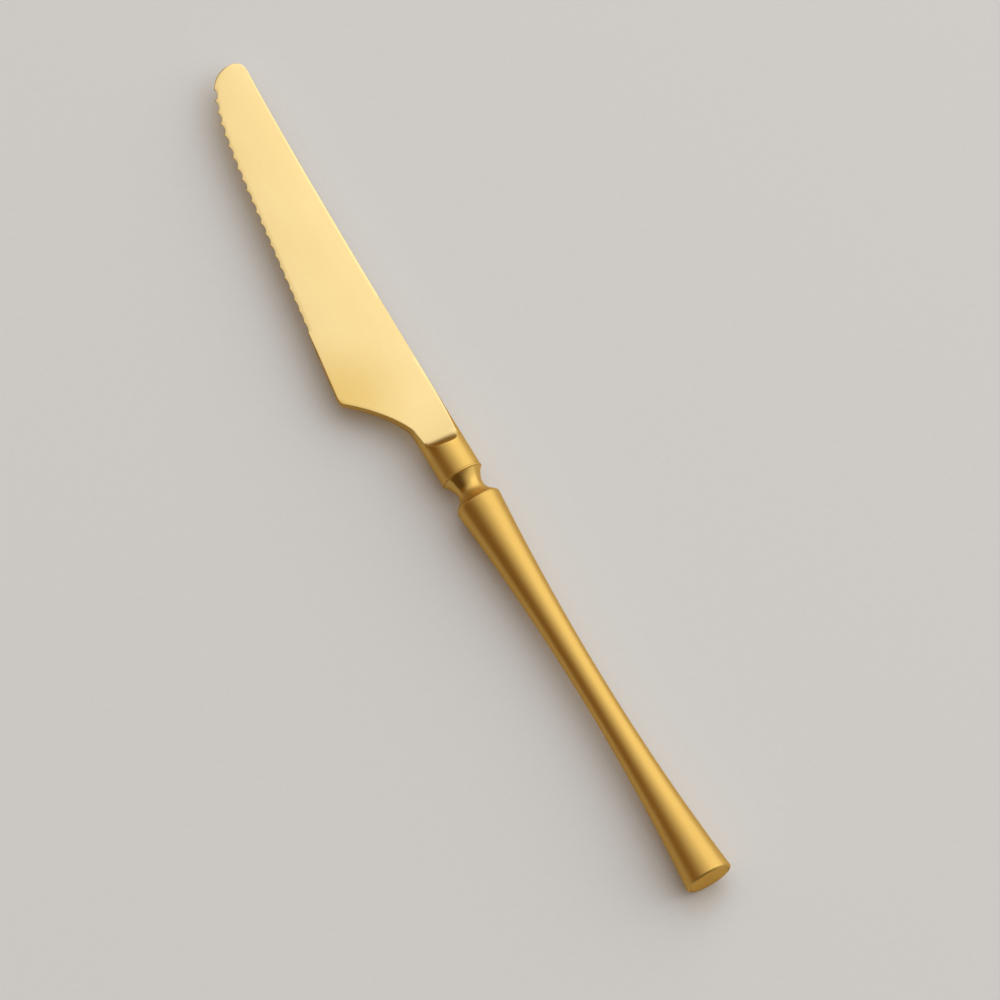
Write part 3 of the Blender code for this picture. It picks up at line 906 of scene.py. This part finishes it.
def ground_and_edge_shade_mask(tree, place, where):
    """1 on the flat ground faces of the blade and 0 on the bolster and the neck; 0 also, as painted
    shade, on the blade's rounded edges and walls, picked by how far the surface turns from facing
    up or down.
    """
    level = add(tree, "ShaderNodeMath", operation="ABSOLUTE")
    tree.links.new(split(tree, place.outputs["Normal"])["Z"], level.inputs[0])
    flat = stepped(tree, level.outputs["Value"], PAINTED_EDGE_SHADE_LEVEL)
    return worked(tree, "MULTIPLY", flat, beyond(tree, where, GROUND_START))


def painted_heel_shade_mask(tree, place):
    """Painted shade: 1 at the heel's corner, fading to 0 over the blade round it, where a deeper,
    darker gold is laid on.
    """
    away = add(tree, "ShaderNodeVectorMath", operation="DISTANCE")
    away.inputs[1].default_value = AXIS_START + Vector((HEEL_X, HEEL_DROP, HEEL_HALF)) * MM
    tree.links.new(place.outputs["Object"], away.inputs[0])
    return stepped(tree, away.outputs["Value"], (PAINTED_HEEL_SHADE_REACH * MM, 0.0))


def forged_gold():
    """The blade's gold: paler and smoother on the ground faces than on the bolster and neck, with
    painted shade as a deeper, darker gold on the rounded edges and walls and round the heel's
    corner.
    """
    material, tree, shader = shader_of("blade_satin")
    place = add(tree, "ShaderNodeTexCoord")
    where = split(tree, place.outputs["Object"])
    brush = satin(tree, shader, LONG_BRUSH, BLADE_BRUSHING)
    clouds = clouds_of(tree, BLADE_CLOUD)
    plain, heel_shade_gold, turned_and_edge_shade_gold = [
        blended(tree, clouds, *colours) for colours in (GROUND_GOLD, PAINTED_HEEL_SHADE_GOLD, TURNED_AND_EDGE_SHADE_GOLD)
    ]
    # Painted shade: the ground gold turns deeper and darker round the heel's corner
    ground = mixed(tree, painted_heel_shade_mask(tree, place), plain, heel_shade_gold)
    # Painted shade: the blade's rounded edges and walls take the deeper turned gold because of the
    # way they face
    colour = mixed(tree, ground_and_edge_shade_mask(tree, place, where), turned_and_edge_shade_gold, ground)
    tree.links.new(colour, shader.inputs["Base Color"])
    rough = mapped(tree, brush, NOISE_RANGE, FOOT_ROUGH)
    for span, finish in FINISH_ZONES:
        zone = mapped(tree, brush, NOISE_RANGE, finish)
        rough = mixed(tree, beyond(tree, where, span), rough, zone, "FLOAT")
    tree.links.new(rough, shader.inputs["Roughness"])
    return material


def grainy(name, colours, grain, rough):
    """A matt surface with a fine grain."""
    material, tree, shader = shader_of(name)
    colour = blended(tree, streaks(tree, grain, GRAIN_DETAIL), *colours)
    tree.links.new(colour, shader.inputs["Base Color"])
    shader.inputs["Roughness"].default_value = rough
    return material


handle.data.materials.append(
    gold("handle_satin", HANDLE_GOLD, HANDLE_ROUGH, LONG_BRUSH, HANDLE_CLOUD)
)
cap.data.materials.append(gold("cap_satin", CAP_GOLD, CAP_ROUGH, CAP_BRUSH, CAP_CLOUD))
blade.data.materials.append(forged_gold())
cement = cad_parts["tang_cement"]
cement.data.materials.clear()
cement.data.materials.append(grainy("cement", CEMENT_GREY, CEMENT_GRAIN, CEMENT_ROUGH))

# Stage: a plain pale floor and a soft studio. The key is a light wall; its limits and those of
# the dim parts of the room are spans of x from the middle of the key.
FLOOR_REACH = 4.0
KEY_WAY = Vector((0.4, -0.95, 0.28)).normalized()
KEY_RANGE = (-0.51, 0.805)
KEY_LEVEL = (1.17, 1.205, 1.235)
KEY_MIDDLE_X = 0.2
KEY_FRONT = (0.8, 0.28)
KEY_REAR = (-1.15, -0.8)
FILL_LEVEL = (0.225, 0.13, 0.05)
DIM_LEVEL = (0.12, 0.077, 0.034)
DIM_FRONT = (0.4, 0.85)
DIM_REAR = (-0.1, -0.55)
SOFTBOX_WAY = Vector((0.22, -0.8, 0.56)).normalized()
SOFTBOX_DISTANCE = 1.1
SOFTBOX_WIDTH = 1.8
SOFTBOX_HEIGHT = 1.3
SOFTBOX_POWER = 2.6


def floor_piece():
    bm = bmesh.new()
    bmesh.ops.create_grid(bm, x_segments=2, y_segments=2, size=FLOOR_REACH)
    mesh = bpy.data.meshes.new("floor")
    bm.to_mesh(mesh)
    bm.free()
    floor = bpy.data.objects.new("floor", mesh)
    bpy.context.scene.collection.objects.link(floor)
    floor.data.materials.append(grainy("floor_plain", FLOOR_GREY, FLOOR_GRAIN, FLOOR_ROUGH))


def studio_world():
    """A broad light wall on the spine's side, reaching overhead, in a dim and warm room."""
    world = bpy.data.worlds.new("studio")
    bpy.context.scene.world = world
    world.use_nodes = True
    tree = world.node_tree
    way = add(tree, "ShaderNodeTexCoord").outputs["Generated"]
    dot = add(tree, "ShaderNodeVectorMath", operation="DOT_PRODUCT")
    dot.inputs[1].default_value = KEY_WAY
    tree.links.new(way, dot.inputs[0])
    along = worked(tree, "SUBTRACT", split(tree, way)["X"], KEY_MIDDLE_X)
    level = stepped(tree, dot.outputs["Value"], KEY_RANGE)
    for span in (KEY_FRONT, KEY_REAR):
        level = worked(tree, "MULTIPLY", level, stepped(tree, along, span))
    dim = worked(tree, "ADD", stepped(tree, along, DIM_FRONT), stepped(tree, along, DIM_REAR))
    room = blended(tree, dim, FILL_LEVEL, DIM_LEVEL)
    wall = add(tree, "ShaderNodeMix", data_type="RGBA")
    wall.inputs[7].default_value = (*KEY_LEVEL, 1)
    tree.links.new(level, wall.inputs[0])
    tree.links.new(room, wall.inputs[6])
    tree.links.new(wall.outputs[2], tree.nodes["Background"].inputs["Color"])


def softbox():
    lamp = bpy.data.lights.new("key", "AREA")
    lamp.shape = "RECTANGLE"
    lamp.size, lamp.size_y = SOFTBOX_WIDTH, SOFTBOX_HEIGHT
    lamp.energy = SOFTBOX_POWER
    box = bpy.data.objects.new("key", lamp)
    box.location = SOFTBOX_WAY * SOFTBOX_DISTANCE
    box.rotation_mode = "QUATERNION"
    box.rotation_quaternion = SOFTBOX_WAY.to_track_quat("Z", "Y")
    box.visible_camera = False
    bpy.context.scene.collection.objects.link(box)


floor_piece()
studio_world()
softbox()

# Camera, at the photo's angle
AZIMUTH = math.radians(239.56)
ELEVATION = math.radians(73.1)
SENSOR_WIDTH = 36
VIEW_WIDTH = 0.24063
VIEW_DISTANCE = 10.0
AIM = Vector((-0.00977, -0.00964, 0.00506))
level_reach = math.cos(ELEVATION)
back_x, back_y = math.sin(AZIMUTH) * level_reach, -math.cos(AZIMUTH) * level_reach
back = Vector((back_x, back_y, math.sin(ELEVATION)))
camera = bpy.data.objects.new("camera", bpy.data.cameras.new("camera"))
camera.data.sensor_width = SENSOR_WIDTH
camera.data.lens = SENSOR_WIDTH * VIEW_DISTANCE / VIEW_WIDTH
camera.location = AIM + back * VIEW_DISTANCE
camera.rotation_mode = "QUATERNION"
camera.rotation_quaternion = (-back).to_track_quat("-Z", "Y")
bpy.context.scene.collection.objects.link(camera)
bpy.context.scene.camera = camera
bpy.context.scene.view_settings.view_transform = "Standard"
